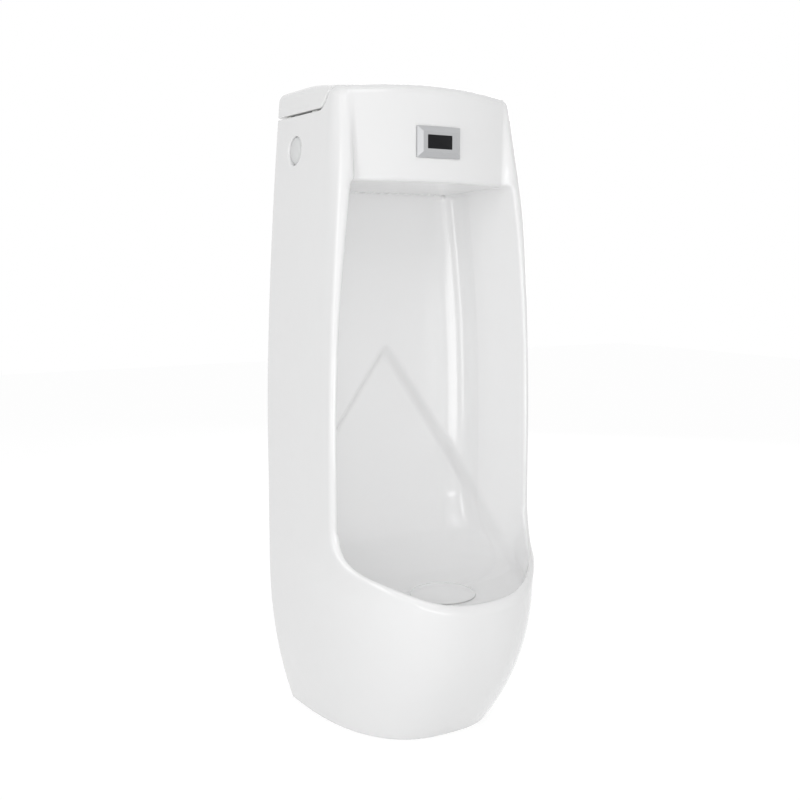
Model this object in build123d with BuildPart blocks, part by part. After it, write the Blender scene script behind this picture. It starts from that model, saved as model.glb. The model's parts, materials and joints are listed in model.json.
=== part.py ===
from build123d import *
import math
import os

os.makedirs("parts", exist_ok=True)

# All lengths are in millimetres. +Z is up, +X is to the right of someone who faces the
# urinal, and the front looks along -Y. The origin is on the floor, at the middle of the
# overall width and depth. "Reach" is the distance forward of the flat back.

# Outer shell
height = 1000.0
depth = 367.0
back_y = depth / 2
belly_half_width = 185.5
crown_half_width = 156.0
foot_half_width = 146.0
foot_reach = 269.0
crown_reach = 235.0
wall = 11.0
back_corner_radius = 11.0
back_trim = 0.6
flare_power = 2.1
taper_start_z = 480.0
taper_power = 1.6
crown_drop = 9.0
top_edge_radius = 13.0

# Front opening, rim and lip
rim_reach = 228.0
rim_lean_start_z = 760.0
rim_top_reach = 205.0
rim_width = 11.5
rim_extra_at_head = 9.5
rim_widen_z = 620.0
lip_z = 250.0
lip_curve_z = 345.0
shell_side_straight = 172.0

# Trough, pocket and bowl
trough_back_reach = 79.0
trough_corner_radius = 45.0
trough_flare = 20.0
ceiling_front_z = height - 142.5
ceiling_fall = 10.5
floor_z = 225.0
pocket_depth = 14.0
pocket_apex_z = 593.0
pocket_slope = 1.43
pocket_lean = 0.865

# Head panel
panel_half_width = 138.0
panel_edge_reach = 211.0
panel_bulge = 20.0
panel_thickness = 13.0

# Lift-off top cover
seam_z = height - 38.5
seam_run = 149.0
seam_rise_reach = 187.0
seam_top_z = height - 18.0
seam_gap = 1.6
cover_wall = 10.0


def reach(distance):
    return back_y - distance


def blend(low, high, value):
    share = min(1.0, max(0.0, (value - low) / (high - low)))
    return share * share * (3 - 2 * share)


def shell_half_width(z):
    if z < lip_z:
        flare = 1 - (1 - max(z, 0.0) / lip_z) ** flare_power
        return foot_half_width + (belly_half_width - foot_half_width) * flare
    taper = max(0.0, (z - taper_start_z) / (height - taper_start_z)) ** taper_power
    return belly_half_width - (belly_half_width - crown_half_width) * taper


def shell_reach(z):
    if z < lip_z:
        flare = 1 - (1 - max(z, 0.0) / lip_z) ** flare_power
        return foot_reach + (depth - foot_reach) * flare
    draw = ((z - lip_z) / (height - lip_z)) ** 1.3
    return depth - (depth - crown_reach) * draw


def shell_straight(z):
    return 16.0 + (shell_side_straight - 16.0) * blend(lip_z - 10, lip_z + 90, z)


def shell_squareness(z):
    boxy = 0.13 * blend(lip_z - 10, lip_z + 100, z)
    round_head = 0.19 * blend(height - 220, height - 20, z)
    return 0.72 + boxy - round_head


def rim_inner_half_width(z):
    widen = max(0.0, (z - rim_widen_z) / (ceiling_front_z - rim_widen_z)) ** 1.3
    return shell_half_width(z) - rim_width - rim_extra_at_head * widen


# One horizontal outline of the shell, drawn in by a wall where one is given
def shell_outline(z, inset):
    half = shell_half_width(z) - inset
    front = reach(shell_reach(z) - inset)
    back = reach(inset - back_trim)
    radius = max(back_corner_radius - inset / 2, 3.0)
    straight = reach(shell_straight(z) + radius)
    k = shell_squareness(z)
    with BuildSketch(Plane.XY.offset(z)) as outline:
        with BuildLine():
            Line((radius - half, back), (half - radius, back))
            RadiusArc((half - radius, back), (half, back - radius), radius)
            Line((half, back - radius), (half, straight))
            Bezier(
                (half, straight),
                (half, straight + k * (front - straight)),
                (k * half, front),
                (0, front),
            )
            Bezier(
                (0, front),
                (-k * half, front),
                (-half, straight + k * (front - straight)),
                (-half, straight),
            )
            Line((-half, straight), (-half, back - radius))
            RadiusArc((-half, back - radius), (radius - half, back), radius)
        make_face()
    return outline.sketch


def shell_solid(inset, heights):
    with BuildPart() as solid:
        loft(sections=[shell_outline(z, inset) for z in heights])
    return solid.part


def plate(points, plane, amount, both=False):
    with BuildPart() as solid:
        with BuildSketch(plane):
            with BuildLine():
                Polyline(*points, close=True)
            make_face()
        extrude(amount=amount, both=both)
    return solid.part


def block(x_low, x_high, reach_low, reach_high, z_low, z_high):
    with BuildPart() as solid:
        with BuildSketch(Plane.XY.offset(z_low)):
            with Locations(((x_low + x_high) / 2, reach((reach_low + reach_high) / 2))):
                Rectangle(x_high - x_low, reach_high - reach_low)
        extrude(amount=z_high - z_low)
    return solid.part


# Side profiles are drawn as (reach, z) and run right across the width
side_plane = Plane(origin=(0, back_y, 0), x_dir=(0, -1, 0), z_dir=(-1, 0, 0))
wide = 260.0

shell_heights = [0, 50, 110, 180, 245, 295, 340, 400, 490, 590, 690, 790, 880, height + 2]
inner_heights = [-5, 50, 110, 180, 245, 295, 340, 400, 490, 590, 690, 790, 880, height + 2]
shell = shell_solid(0, shell_heights)
shell_inside = shell_solid(wall, inner_heights)

# Everything in front of the rim and above the lip
with BuildPart() as front_space:
    with BuildSketch(side_plane):
        with BuildLine():
            Line((rim_reach, lip_curve_z), (rim_reach, rim_lean_start_z))
            Spline(
                (rim_reach, rim_lean_start_z),
                (rim_top_reach + 2, height - 18),
                tangents=((0, 1), (-0.17, 1)),
            )
            ThreePointArc(
                (rim_top_reach + 2, height - 18),
                (rim_top_reach - 3, height - 6),
                (rim_top_reach - 15, height + 1),
            )
            Polyline(
                (rim_top_reach - 15, height + 1),
                (rim_top_reach - 15, height + 5),
                (depth + 80, height + 5),
                (depth + 80, 180),
                (depth + 40, 205),
            )
            Bezier((depth + 40, 205), (depth, 233), (324, 262), (282, 275))
            Bezier((282, 275), (250, 285), (rim_reach, 302), (rim_reach, lip_curve_z))
        make_face()
    extrude(amount=wide, both=True)

# The crown: everything above a shallow arch across the width, with rounded shoulders and back edge
shoulder_x = crown_half_width - top_edge_radius + 1.0
shoulder_z = height - crown_drop * (shoulder_x / crown_half_width) ** 2
side_top_z = shoulder_z - top_edge_radius
side_x = shell_half_width(side_top_z)
with BuildPart() as above_crown:
    with BuildSketch(Plane.XZ.offset(-depth)):
        with BuildLine():
            ThreePointArc((-shoulder_x, shoulder_z), (0, height), (shoulder_x, shoulder_z))
            TangentArc((shoulder_x, shoulder_z), (side_x, side_top_z), tangent=(1, -2 * crown_drop / crown_half_width))
            Polyline(
                (side_x, side_top_z),
                (side_x + 60, side_top_z),
                (side_x + 60, height + 40),
                (-side_x - 60, height + 40),
                (-side_x - 60, side_top_z),
                (-side_x, side_top_z),
            )
            TangentArc((-shoulder_x, shoulder_z), (-side_x, side_top_z), tangent=(-1, -2 * crown_drop / crown_half_width))
        make_face()
    extrude(amount=2 * depth)
    with BuildSketch(side_plane):
        with BuildLine():
            RadiusArc((0, height - top_edge_radius - 6), (top_edge_radius, height + 0.5), top_edge_radius + 4)
            Polyline(
                (top_edge_radius, height + 0.5),
                (top_edge_radius, height + 30),
                (-30, height + 30),
                (-30, height - top_edge_radius - 6),
                (0, height - top_edge_radius - 6),
            )
        make_face()
    extrude(amount=wide, both=True)


# One horizontal outline of the trough or bowl, let out by a wall where one is given
def trough_outline(z, back, back_half, radius, front_half, front, squareness, grow):
    back = reach(back - grow)
    back_half = back_half + grow
    front_half = front_half + grow
    radius = radius + grow
    shoulder = reach(rim_reach)
    tip = reach(front + grow)
    with BuildSketch(Plane.XY.offset(z)) as outline:
        with BuildLine():
            Line((radius - back_half, back), (back_half - radius, back))
            RadiusArc((back_half - radius, back), (back_half, back - radius), radius)
            Line((back_half, back - radius), (front_half, shoulder))
            Bezier(
                (front_half, shoulder),
                (front_half, shoulder + squareness * (tip - shoulder)),
                (squareness * front_half, tip),
                (0, tip),
            )
            Bezier(
                (0, tip),
                (-squareness * front_half, tip),
                (-front_half, shoulder + squareness * (tip - shoulder)),
                (-front_half, shoulder),
            )
            Line((-front_half, shoulder), (-back_half, back - radius))
            RadiusArc((-back_half, back - radius), (radius - back_half, back), radius)
        make_face()
    return outline.sketch


# Rows: height above the bowl floor, reach of the back, side draw-in, corner radius, front reach, squareness
bowl_rows = [
    (0, 197, 84, 40, 318, 0.6),
    (6, 186, 56, 45, 342, 0.66),
    (15, 168, 30, 50, 372, 0.75),
    (27, 148, 14, 55, 410, 0.82),
    (42, 126, 5, 55, 445, 0.86),
    (62, 102, 0, 52, 480, 0.88),
    (90, 85, 0, 48, 500, 0.9),
]
trough_heights = [350, 430, 520, 620, 720, 800, ceiling_front_z + 14]


def trough_solid(deeper, grow, top):
    sections = []
    for rise, back, draw, radius, front, squareness in bowl_rows:
        half = rim_inner_half_width(lip_curve_z) - draw
        back = back - deeper
        drop = grow * (1 - rise / 120)
        z = floor_z + rise - drop
        sections.append(trough_outline(z, back, half - trough_flare + deeper / 2, radius, half, front, squareness, grow))
    for z in [value for value in trough_heights if value < top]:
        half = rim_inner_half_width(z)
        back = trough_back_reach - deeper
        radius = trough_corner_radius
        sections.append(trough_outline(z, back, half - trough_flare + deeper / 2, radius, half, 520, 0.9, grow))
    with BuildPart() as solid:
        loft(sections=sections)
    return solid.part


def below_ceiling(grow):
    back_z = ceiling_front_z - ceiling_fall + grow
    slope = ceiling_fall / (232 - trough_back_reach)
    front_z = back_z + slope * 450
    points = [(trough_back_reach - 60, back_z - slope * 60), (530, front_z), (530, 100), (trough_back_reach - 60, 100)]
    return plate(points, side_plane, wide, both=True)


# The pocket lies under two planes that meet in a ridge on the middle line and fall to the sides and front
def gable(grow):
    lift = grow * math.sqrt(1 + pocket_lean**2 + pocket_slope**2)
    fall = wide * pocket_slope / math.sqrt(1 + pocket_lean**2)
    ridge = Plane(
        origin=(0, reach(trough_back_reach), pocket_apex_z + lift),
        x_dir=(1, 0, 0),
        z_dir=(0, -1, -pocket_lean),
    )
    return plate([(0, 0), (wide, -fall), (wide, -height), (-wide, -height), (-wide, -fall)], ridge, height, both=True)


# Below the rim the bowl keeps a full wall behind the shell; above it the trough is open at the front
with BuildPart() as lip_limit:
    add(shell_inside)
    with BuildSketch(Plane.XY.offset(lip_curve_z)):
        Rectangle(4 * wide, 4 * wide)
    extrude(amount=height)

with BuildPart() as trough_space:
    add(trough_solid(0, 0, 2000))
    add(below_ceiling(0), mode=Mode.INTERSECT)
    add(lip_limit.part, mode=Mode.INTERSECT)

with BuildPart() as trough_block:
    add(trough_solid(0, wall, 2000))
    add(below_ceiling(wall), mode=Mode.INTERSECT)

with BuildPart() as pocket_space:
    add(trough_solid(pocket_depth, 0, 700))
    add(gable(0), mode=Mode.INTERSECT)
    with BuildSketch(Plane.XY):
        with Locations((0, reach(rim_reach - 10 + wide))):
            Rectangle(2 * wide, 2 * wide)
    extrude(amount=height, mode=Mode.SUBTRACT)

with BuildPart() as pocket_block:
    add(trough_solid(pocket_depth, wall, 700))
    add(gable(wall), mode=Mode.INTERSECT)


# The crowned shell that the body and the top cover are both cut from
with BuildPart() as crowned_shell:
    add(shell)
    add(above_crown.part, mode=Mode.SUBTRACT)
    add(block(-wide, wide, -wide, 0, -10, height + 60), mode=Mode.SUBTRACT)


# What lies above the side seam, drawn back by a gap for the cover
def above_seam(gap):
    points = [
        (-20, seam_z + gap),
        (seam_run - gap, seam_z + gap),
        (seam_rise_reach - gap, seam_top_z + gap / 2),
        (seam_rise_reach - gap, height + 40),
        (-20, height + 40),
    ]
    with BuildPart() as solid:
        with BuildSketch(side_plane):
            with BuildLine():
                FilletPolyline(*points, radius=5.0, close=True)
            make_face()
        extrude(amount=wide, both=True)
    return solid.part


# Head cavity
cavity_floor_z = ceiling_front_z + wall + 2.5
cavity_back = wall + 1.0
cavity_front = panel_edge_reach - panel_thickness
roof_z = height - 28.0
window_half_width = 118.0
window_low_z = cavity_floor_z + 12.0
window_high_z = seam_z - 18.0
wall_hole_radius = 5.5
wall_hole_x = 136.0
wall_hole_z = cavity_floor_z + 48.0

# Side access holes
side_hole_radius = 19.5
side_hole_reach = 75.0
side_hole_z = height - 92.0

# Wash channel above the trough
channel_reach = 92.0
channel_half_length = 128.0
channel_width = 18.0
channel_low_z = ceiling_front_z + 4.0
channel_high_z = channel_low_z + 18.0
boss_top_z = channel_high_z + 12.0
wash_hole_radius = 2.0
wash_hole_pitch = 15.0
wash_hole_count = 17
wash_hole_reach = 87.0
inlet_radius = 15.0

# Trap and outlet
drain_reach = 248.0
drain_radius = 36.0
trap_half_width = 34.0
trap_wall = 11.0
outlet_reach = 124.0
outlet_radius = 27.0
horn_radius = 33.0
horn_low_z = 4.0
trap_low_z = 112.0
weir_z = 160.0
baffle_z = 138.0

# Sensor
sensor_z = height - 84.0
bezel_width = 77.0
bezel_height = 46.0
bezel_depth = 7.0
bezel_bevel = 8.0
sensor_hole_width = 68.0
stud_x = 31.0
clamp_reach = panel_edge_reach - panel_thickness + panel_bulge - 0.6
sensor_hole_height = 34.0
seat_reach = panel_edge_reach + panel_bulge - 1.8
gasket_thickness = 0.8
glass_width = 38.0
glass_height = 20.0


with BuildPart() as panel:
    with BuildSketch(Plane.XY.offset(ceiling_front_z)):
        with BuildLine():
            Polyline(
                (panel_half_width, reach(panel_edge_reach)),
                (panel_half_width, reach(cavity_front - 8)),
                (-panel_half_width, reach(cavity_front - 8)),
                (-panel_half_width, reach(panel_edge_reach)),
            )
            ThreePointArc(
                (-panel_half_width, reach(panel_edge_reach)),
                (0, reach(panel_edge_reach + panel_bulge)),
                (panel_half_width, reach(panel_edge_reach)),
            )
        make_face()
    extrude(amount=height + 2 - ceiling_front_z)
    add(above_crown.part, mode=Mode.SUBTRACT)
    front_edges = panel.edges().filter_by(lambda e: e.center().Y < reach(panel_edge_reach + 4) and e.length > 200)
    fillet(front_edges.sort_by(Axis.Z)[-1], radius=11.0)
    front_edges = panel.edges().filter_by(lambda e: e.center().Y < reach(panel_edge_reach + 4) and e.length > 200)
    fillet(front_edges.sort_by(Axis.Z)[0], radius=5.0)

with BuildPart() as head_space:
    add(
        plate(
            [
                (cavity_back, cavity_floor_z),
                (cavity_front, cavity_floor_z),
                (cavity_front, roof_z),
                (seam_rise_reach, roof_z - 4),
                (seam_run + 3, seam_z - wall),
                (seam_run + 3, height + 30),
                (cavity_back, height + 30),
            ],
            side_plane,
            wide,
            both=True,
        )
    )
    add(shell_inside, mode=Mode.INTERSECT)
    with BuildSketch(Plane.XY.offset(cavity_floor_z)):
        with BuildLine():
            Polyline(
                (112, reach(cavity_front)),
                (112, reach(cavity_front - 10)),
                (-112, reach(cavity_front - 10)),
                (-112, reach(cavity_front)),
            )
            ThreePointArc(
                (-112, reach(cavity_front)),
                (0, reach(cavity_front + panel_bulge)),
                (112, reach(cavity_front)),
            )
        make_face()
    extrude(amount=roof_z - cavity_floor_z)

trap_points = [
    (212, 207),
    (284, 207),
    (284, trap_low_z),
    (158, trap_low_z),
    (158, weir_z),
    (148, weir_z),
    (148, 30),
    (100, 30),
    (100, 196),
    (200, 196),
    (200, baffle_z),
    (212, baffle_z),
]
with BuildPart() as water_way:
    with BuildSketch(side_plane):
        with BuildLine():
            FilletPolyline(*trap_points, radius=4.0, close=True)
        make_face()
    extrude(amount=trap_half_width, both=True)
    with BuildSketch(Plane.XY.offset(-5)):
        with Locations((0, reach(outlet_reach))):
            Circle(outlet_radius)
    extrude(amount=45)
    with BuildSketch(Plane.XY.offset(200)):
        with Locations((0, reach(drain_reach))):
            Circle(drain_radius)
    extrude(amount=40)

with BuildPart() as trap_block:
    with BuildSketch(side_plane):
        with BuildLine():
            FilletPolyline((86, 14), (162, 14), (162, 98), (298, 98), (298, 220), (86, 220), radius=8.0, close=True)
        make_face()
    extrude(amount=trap_half_width + trap_wall, both=True)
    with BuildSketch(Plane.XY.offset(horn_low_z)):
        with Locations((0, reach(outlet_reach))):
            Circle(horn_radius)
    extrude(amount=20)

# Hollow behind the trough and under the bowl, open at the floor and the back
hollow_top_z = ceiling_front_z + 0.5
with BuildPart() as rear_hollow:
    add(shell_inside)
    add(block(-wide, wide, -100, 500, hollow_top_z, height + 60), mode=Mode.SUBTRACT)
    add(block(-wide, wide, 176, 500, floor_z - wall - 8, height + 60), mode=Mode.SUBTRACT)
    add(trough_block.part, mode=Mode.SUBTRACT)
    add(pocket_block.part, mode=Mode.SUBTRACT)
    add(trap_block.part, mode=Mode.SUBTRACT)

with BuildPart() as ceramic_body:
    add(crowned_shell.part)
    add(front_space.part, mode=Mode.SUBTRACT)
    add(block(-panel_half_width, panel_half_width, cavity_front, 320, ceiling_front_z, height + 20), mode=Mode.SUBTRACT)
    add(panel.part)
    add(above_seam(0), mode=Mode.SUBTRACT)
    add(rear_hollow.part, mode=Mode.SUBTRACT)
    add(head_space.part, mode=Mode.SUBTRACT)
    add(block(-140, 140, channel_reach - 21, channel_reach + 21, cavity_floor_z - 5, boss_top_z))
    add(trough_space.part, mode=Mode.SUBTRACT)
    add(pocket_space.part, mode=Mode.SUBTRACT)
    add(water_way.part, mode=Mode.SUBTRACT)
    half_channel = channel_width / 2
    add(
        block(
            -channel_half_length,
            channel_half_length,
            channel_reach - half_channel,
            channel_reach + half_channel,
            channel_low_z,
            channel_high_z,
        ),
        mode=Mode.SUBTRACT,
    )
    add(block(-window_half_width, window_half_width, -5, cavity_back + 2, window_low_z, window_high_z), mode=Mode.SUBTRACT)
    add(block(-138, 138, -5, wall + 2, 60, 826), mode=Mode.SUBTRACT)
    with BuildSketch(Plane.XY.offset(channel_low_z + 2)):
        with Locations((0, reach(wash_hole_reach))):
            with GridLocations(wash_hole_pitch, 1, wash_hole_count, 1):
                Circle(wash_hole_radius)
    extrude(amount=-30, mode=Mode.SUBTRACT)
    with BuildSketch(Plane.XY.offset(channel_high_z - 4)):
        with Locations((0, reach(channel_reach))):
            Circle(inlet_radius)
    extrude(amount=30, mode=Mode.SUBTRACT)
    with BuildSketch(Plane.XZ.offset(-back_y - 5)):
        with Locations((wall_hole_x, wall_hole_z), (-wall_hole_x, wall_hole_z)):
            Circle(wall_hole_radius)
    extrude(amount=cavity_back + 8, mode=Mode.SUBTRACT)
    with BuildSketch(Plane.YZ.offset(140)):
        with Locations((reach(side_hole_reach), side_hole_z)):
            Circle(side_hole_radius)
    extrude(amount=60, mode=Mode.SUBTRACT)
    with BuildSketch(Plane.YZ.offset(-140)):
        with Locations((reach(side_hole_reach), side_hole_z)):
            Circle(side_hole_radius)
    extrude(amount=-60, mode=Mode.SUBTRACT)
    add(
        block(
            -sensor_hole_width / 2,
            sensor_hole_width / 2,
            cavity_front - 5,
            300,
            sensor_z - sensor_hole_height / 2,
            sensor_z + sensor_hole_height / 2,
        ),
        mode=Mode.SUBTRACT,
    )
    add(
        block(
            -sensor_hole_width / 2 - 8,
            sensor_hole_width / 2 + 8,
            cavity_front,
            clamp_reach,
            sensor_z - sensor_hole_height / 2 - 6,
            sensor_z + sensor_hole_height / 2 + 6,
        ),
        mode=Mode.SUBTRACT,
    )
    add(
        block(
            -bezel_width / 2 - 1,
            bezel_width / 2 + 1,
            seat_reach,
            300,
            sensor_z - bezel_height / 2 - 1,
            sensor_z + bezel_height / 2 + 1,
        ),
        mode=Mode.SUBTRACT,
    )
ceramic_body.part.label = "ceramic_body"
export_step(ceramic_body.part, "parts/ceramic_body.step")

with BuildPart() as top_cover:
    add(crowned_shell.part)
    add(above_seam(seam_gap), mode=Mode.INTERSECT)
    cover_ceiling_z = height - 16.0
    add(
        plate(
            [
                (cover_wall, seam_z - 5),
                (seam_run - 8, seam_z - 5),
                (seam_run - 8, seam_z + 6),
                (seam_rise_reach - 16, seam_top_z - 4),
                (seam_rise_reach - 16, cover_ceiling_z),
                (cover_wall, cover_ceiling_z),
            ],
            side_plane,
            shell_half_width(height) - cover_wall - 3,
            both=True,
        ),
        mode=Mode.SUBTRACT,
    )
top_cover.part.label = "top_cover"
export_step(top_cover.part, "parts/top_cover.step")

# Sensor in the head panel
sensor_body_width = 54.0
sensor_body_height = 28.0
sensor_body_reach = seat_reach - 34.0
bezel_back = seat_reach + gasket_thickness


def front_plane(distance):
    return Plane(origin=(0, reach(distance), sensor_z), x_dir=(1, 0, 0), z_dir=(0, -1, 0))


with BuildPart() as sensor_gasket:
    with BuildSketch(front_plane(seat_reach)):
        Rectangle(bezel_width - 3, bezel_height - 3)
        Rectangle(sensor_body_width + 4, sensor_body_height + 4, mode=Mode.SUBTRACT)
        with Locations((-stud_x, 0), (stud_x, 0)):
            Circle(2.2, mode=Mode.SUBTRACT)
    extrude(amount=gasket_thickness)

with BuildPart() as sensor_bezel:
    with BuildSketch(front_plane(bezel_back)):
        Rectangle(bezel_width, bezel_height)
    with BuildSketch(front_plane(bezel_back + 2.0)):
        Rectangle(bezel_width, bezel_height)
    loft(ruled=True)
    with BuildSketch(front_plane(bezel_back + 2.0)):
        Rectangle(bezel_width, bezel_height)
    with BuildSketch(front_plane(bezel_back + bezel_depth)):
        Rectangle(bezel_width - 2 * bezel_bevel, bezel_height - 2 * bezel_bevel)
    loft(ruled=True)
    with BuildSketch(front_plane(bezel_back + bezel_depth)):
        Rectangle(glass_width + 0.4, glass_height + 0.4)
    extrude(amount=-bezel_depth, mode=Mode.SUBTRACT)
    with BuildSketch(front_plane(bezel_back)):
        with Locations((-stud_x, 0), (stud_x, 0)):
            Circle(2.0)
    extrude(amount=-34)

with BuildPart() as sensor_window:
    with BuildSketch(front_plane(bezel_back + 0.2)):
        Rectangle(glass_width, glass_height)
    extrude(amount=bezel_depth - 0.8)
    with BuildSketch(front_plane(bezel_back + 0.2)):
        Rectangle(glass_width - 4, glass_height - 4)
    extrude(amount=bezel_depth - 3.2, mode=Mode.SUBTRACT)

with BuildPart() as sensor_housing:
    with BuildSketch(front_plane(bezel_back)):
        RectangleRounded(sensor_body_width - 2, sensor_body_height, 2.5)
    extrude(amount=sensor_body_reach - bezel_back)
    with BuildSketch(front_plane(bezel_back)):
        RectangleRounded(sensor_body_width - 6, sensor_body_height - 4, 1.5)
    extrude(amount=sensor_body_reach + 2.0 - bezel_back, mode=Mode.SUBTRACT)
    with BuildSketch(front_plane(sensor_body_reach)):
        Circle(3.2)
    extrude(amount=-6)
    with BuildSketch(front_plane(sensor_body_reach + 3)):
        Circle(2.1)
    extrude(amount=-12, mode=Mode.SUBTRACT)

board_reach = sensor_body_reach + 14.0
with BuildPart() as sensor_board:
    with BuildSketch(front_plane(board_reach)):
        Rectangle(sensor_body_width - 6.4, sensor_body_height - 4.4)
    extrude(amount=1.6)


def sensor_eye(x):
    with BuildPart() as eye:
        with BuildSketch(front_plane(board_reach + 1.6)):
            with Locations((x, 0)):
                Circle(2.9)
        extrude(amount=1.2)
        with BuildSketch(front_plane(board_reach + 2.8)):
            with Locations((x, 0)):
                Circle(2.5)
        extrude(amount=4.5)
        fillet(eye.edges().filter_by(GeomType.CIRCLE).sort_by(Axis.Y)[0], radius=2.3)
    return eye.part


ir_emitter = sensor_eye(-9.0)
ir_receiver = sensor_eye(9.0)

with BuildPart() as sensor_clamp:
    with BuildSketch(front_plane(clamp_reach)):
        RectangleRounded(sensor_hole_width + 12, sensor_hole_height + 8, 3)
        Rectangle(sensor_body_width - 1.4, sensor_body_height + 0.6, mode=Mode.SUBTRACT)
        with Locations((-stud_x, 0), (stud_x, 0)):
            Circle(2.2, mode=Mode.SUBTRACT)
    extrude(amount=-2.0)

with BuildPart() as clamp_nuts:
    for x in (-stud_x, stud_x):
        with BuildSketch(front_plane(clamp_reach - 2.0)):
            with Locations((x, 0)):
                RegularPolygon(4.0, 6)
                Circle(2.05, mode=Mode.SUBTRACT)
        extrude(amount=-3.2)

# Wash water: stop valve, solenoid valve and spud, all on the wash channel's middle line
valve_z = boss_top_z + 26.0
valve_x = 46.0
stop_x = 102.0
spud_top_z = boss_top_z + 6.0

with BuildPart() as spud_washer:
    with BuildSketch(Plane.XY.offset(boss_top_z)):
        with Locations((0, reach(channel_reach))):
            Circle(20)
            Circle(inlet_radius, mode=Mode.SUBTRACT)
    extrude(amount=2)

with BuildPart() as inlet_spud:
    with BuildSketch(Plane.XY.offset(channel_high_z - 2)):
        with Locations((0, reach(channel_reach))):
            Circle(inlet_radius - 0.2)
    extrude(amount=boss_top_z + 2 - channel_high_z + 2)
    with BuildSketch(Plane.XY.offset(boss_top_z + 2)):
        with Locations((0, reach(channel_reach))):
            Circle(20)
    extrude(amount=4)
    with BuildSketch(Plane.XY.offset(spud_top_z)):
        with Locations((0, reach(channel_reach))):
            Circle(11)
    extrude(amount=6)
    with BuildSketch(Plane.XY.offset(channel_high_z - 3)):
        with Locations((0, reach(channel_reach))):
            Circle(6.5)
    extrude(amount=60, mode=Mode.SUBTRACT)

with BuildPart() as spud_nut:
    with BuildSketch(Plane.XY.offset(spud_top_z + 0.1)):
        with Locations((0, reach(channel_reach))):
            RegularPolygon(15, 6)
            Circle(11.1, mode=Mode.SUBTRACT)
    extrude(amount=10)

elbow_low_z = spud_top_z + 6.2
with BuildPart() as outlet_elbow:
    with BuildSketch(Plane.XY.offset(elbow_low_z)):
        with Locations((0, reach(channel_reach))):
            Circle(9)
    extrude(amount=valve_z - elbow_low_z)
    with Locations((0, reach(channel_reach), valve_z)):
        Sphere(9)
    with BuildSketch(Plane(origin=(0, reach(channel_reach), valve_z), x_dir=(0, 1, 0), z_dir=(1, 0, 0))):
        Circle(9)
    extrude(amount=valve_x - 24)
    with BuildSketch(Plane.XY.offset(elbow_low_z - 1)):
        with Locations((0, reach(channel_reach))):
            Circle(6)
    extrude(amount=valve_z - elbow_low_z + 1, mode=Mode.SUBTRACT)
    with BuildSketch(Plane(origin=(0, reach(channel_reach), valve_z), x_dir=(0, 1, 0), z_dir=(1, 0, 0))):
        Circle(6)
    extrude(amount=valve_x, mode=Mode.SUBTRACT)
    with Locations((0, reach(channel_reach), valve_z)):
        Sphere(6, mode=Mode.SUBTRACT)

# Solenoid valve, upright on its body
chamber_radius = 15.5
seat_z = valve_z + 2.0
bonnet_z = valve_z + 12.0
plunger_radius = 5.0
plunger_travel = 3.0
diaphragm_travel = 2.0
armature_top_z = bonnet_z + 34.0
line_plane = Plane(origin=(valve_x - 24, reach(channel_reach), valve_z), x_dir=(0, 1, 0), z_dir=(1, 0, 0))


def valve_level(z):
    return Plane(origin=(valve_x, reach(channel_reach), z), x_dir=(1, 0, 0), z_dir=(0, 0, 1))


with BuildPart() as solenoid_body:
    with BuildSketch(valve_level(valve_z - 10)):
        Circle(chamber_radius + 3.5)
    extrude(amount=bonnet_z - valve_z + 10)
    with BuildSketch(line_plane):
        Circle(10)
    extrude(amount=48)
    with BuildSketch(valve_level(seat_z - 4)):
        Circle(chamber_radius)
        Circle(7.5, mode=Mode.SUBTRACT)
    extrude(amount=bonnet_z, mode=Mode.SUBTRACT)
    with BuildSketch(valve_level(seat_z)):
        Circle(9)
    extrude(amount=bonnet_z, mode=Mode.SUBTRACT)
    with BuildSketch(valve_level(valve_z)):
        Circle(5)
    extrude(amount=20, mode=Mode.SUBTRACT)
    with BuildSketch(line_plane):
        Circle(5.5)
    extrude(amount=26, mode=Mode.SUBTRACT)
    with BuildSketch(line_plane.offset(36)):
        Circle(5.5)
    extrude(amount=13, mode=Mode.SUBTRACT)
    with BuildSketch(valve_level(bonnet_z)):
        with PolarLocations(chamber_radius + 1.7, 4, 45):
            Circle(1.0)
    extrude(amount=-8, mode=Mode.SUBTRACT)

with BuildPart() as valve_diaphragm:
    with BuildSketch(valve_level(seat_z + 0.2)):
        Circle(chamber_radius - 0.6)
    extrude(amount=1.6)
    with BuildSketch(valve_level(seat_z + 1.8)):
        Circle(7)
    extrude(amount=1.6)

with BuildPart() as solenoid_bonnet:
    with BuildSketch(valve_level(bonnet_z)):
        Circle(chamber_radius + 3.5)
    extrude(amount=4)
    with BuildSketch(valve_level(bonnet_z + 4)):
        Circle(plunger_radius + 1.4)
    extrude(amount=armature_top_z - bonnet_z - 4)
    with BuildSketch(valve_level(bonnet_z)):
        Circle(plunger_radius + 0.06)
    extrude(amount=armature_top_z - bonnet_z - 2.5, mode=Mode.SUBTRACT)
    with BuildSketch(valve_level(bonnet_z)):
        with PolarLocations(chamber_radius + 1.7, 4, 45):
            Circle(1.05)
    extrude(amount=4, mode=Mode.SUBTRACT)

with BuildPart() as bonnet_screws:
    with BuildSketch(valve_level(bonnet_z + 4)):
        with PolarLocations(chamber_radius + 1.7, 4, 45):
            Circle(1.8)
    extrude(amount=1.6)
    with BuildSketch(valve_level(bonnet_z + 4)):
        with PolarLocations(chamber_radius + 1.7, 4, 45):
            Circle(0.95)
    extrude(amount=-10)

plunger_low_z = seat_z + 3.5
plunger_top_z = plunger_low_z + 24.0
with BuildPart() as plunger:
    with BuildSketch(valve_level(plunger_low_z)):
        Circle(2.2)
    extrude(amount=3)
    with BuildSketch(valve_level(plunger_low_z + 3)):
        Circle(plunger_radius)
    extrude(amount=21)

spring_top_z = armature_top_z - 2.7
with BuildPart() as plunger_spring:
    with BuildSketch(valve_level(plunger_top_z + 0.2)):
        Circle(4.2)
        Circle(3.0, mode=Mode.SUBTRACT)
    extrude(amount=spring_top_z - plunger_top_z - 0.2)

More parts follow.
